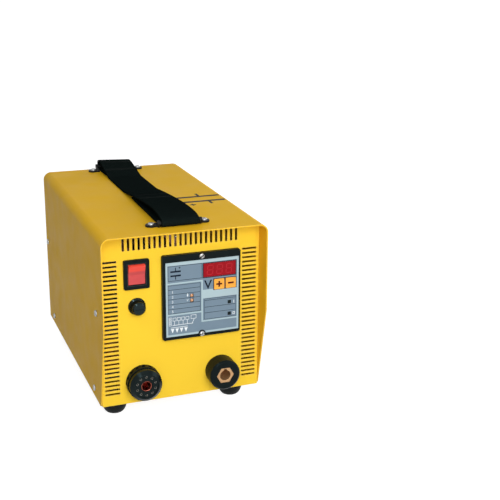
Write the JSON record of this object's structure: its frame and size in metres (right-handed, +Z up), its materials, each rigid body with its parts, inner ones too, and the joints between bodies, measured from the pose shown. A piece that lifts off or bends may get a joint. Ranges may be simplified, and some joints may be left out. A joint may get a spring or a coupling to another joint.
{
  "type": "stud welder",
  "caption": "Portable capacitor-discharge stud welder: sheet-metal case with a slanting hood, carrying strap, slotted front panel, control module, rocker switch, fuse and welding sockets.",
  "frame": {"origin": "on the floor under the middle of the case", "axes": "+Z up, front panel facing -Y, +X to the right seen from the front"},
  "size_m": [0.2004, 0.34, 0.2468],
  "materials": {
    "yellow_paint": "satin powder coat",
    "black_paint": "satin",
    "zinc": "zinc plated",
    "webbing": "woven",
    "black_rubber": "matt",
    "black_plastic": "fine grain",
    "red_plastic": "gloss",
    "label_film": "printed film",
    "red_filter": "clear red",
    "orange_key": "satin",
    "amber_lens": "clear amber",
    "dark_lens": "smoked",
    "brass": "turned",
    "copper": "drawn",
    "board": "solder mask",
    "can_sleeve": "shrink sleeve",
    "insulator": "sheet",
    "laminations": "stacked sheet",
    "winding": "taped",
    "sink": "extruded",
    "resin": "moulded",
    "fuse_glass": "clear"
  },
  "bodies": {
    "housing": {"cover": "yellow_paint", "front_panel": "yellow_paint", "rear_panel": "yellow_paint", "base_tray": "yellow_paint", "rubber_feet": "black_rubber", "foot_screws": "zinc", "foot_nuts": "zinc", "cover_screws": "zinc", "strap": "webbing", "strap_bracket_front": "black_paint", "strap_bracket_rear": "black_paint", "bracket_screws": "zinc", "bracket_nuts": "zinc", "switch_body": "black_plastic", "switch_terminals": "brass", "fuse_holder": "black_plastic", "fuse_nut": "black_plastic", "module_bezel": "black_plastic", "module_label": "label_film", "display_window": "red_filter", "display_block": "resin", "sensor_lamps": "amber_lens", "status_lamps": "dark_lens", "module_screws": "zinc", "module_nuts": "zinc", "control_board": "board", "gun_socket_collar": "black_plastic", "gun_socket_body": "black_plastic", "gun_socket_contact": "copper", "gun_socket_pins": "brass", "gun_socket_nut": "black_plastic", "weld_socket_body": "black_plastic", "weld_socket_insert": "brass", "weld_socket_nut": "black_plastic", "mains_inlet": "black_plastic", "inlet_pins": "brass", "inlet_screws": "zinc", "capacitors": "can_sleeve", "capacitor_terminals": "zinc", "capacitor_clamp": "insulator", "clamp_posts": "zinc", "positive_bar": "copper", "negative_bar": "copper", "transformer_core": "laminations", "transformer_coil": "winding", "transformer_bolts": "zinc", "heat_sink": "sink", "thyristor": "resin", "rectifier": "resin", "power_board": "board", "board_posts": "zinc"},
    "rocker": {"rocker": "red_plastic"},
    "fuse_pull": {"fuse_carrier": "black_plastic", "fuse_link": "fuse_glass"},
    "fuse_cap": {"fuse_cap": "black_plastic"},
    "plus_key": {"plus_button": "orange_key"},
    "minus_key": {"minus_button": "orange_key"}
  },
  "joints": [
    {"name": "rocker_tilt", "type": "hinge", "parent": "housing", "child": "rocker", "pos_m": [-0.053, -0.1465, 0.183], "axis": [-1, 0, 0], "range_deg": [0, 16]},
    {"name": "fuse_slide", "type": "slide", "parent": "housing", "child": "fuse_pull", "axis": [0, -1, 0], "range_m": [0, 0.036]},
    {"name": "fuse_turn", "type": "hinge", "parent": "fuse_pull", "child": "fuse_cap", "pos_m": [-0.053, -0.1465, 0.144], "axis": [0, -1, 0], "range_deg": [0, 90]},
    {"name": "plus_press", "type": "slide", "parent": "housing", "child": "plus_key", "axis": [0, 1, 0], "range_m": [0, 0.0008], "stiffness_N_per_m": 400},
    {"name": "minus_press", "type": "slide", "parent": "housing", "child": "minus_key", "axis": [0, 1, 0], "range_m": [0, 0.0008], "stiffness_N_per_m": 400}
  ]
}
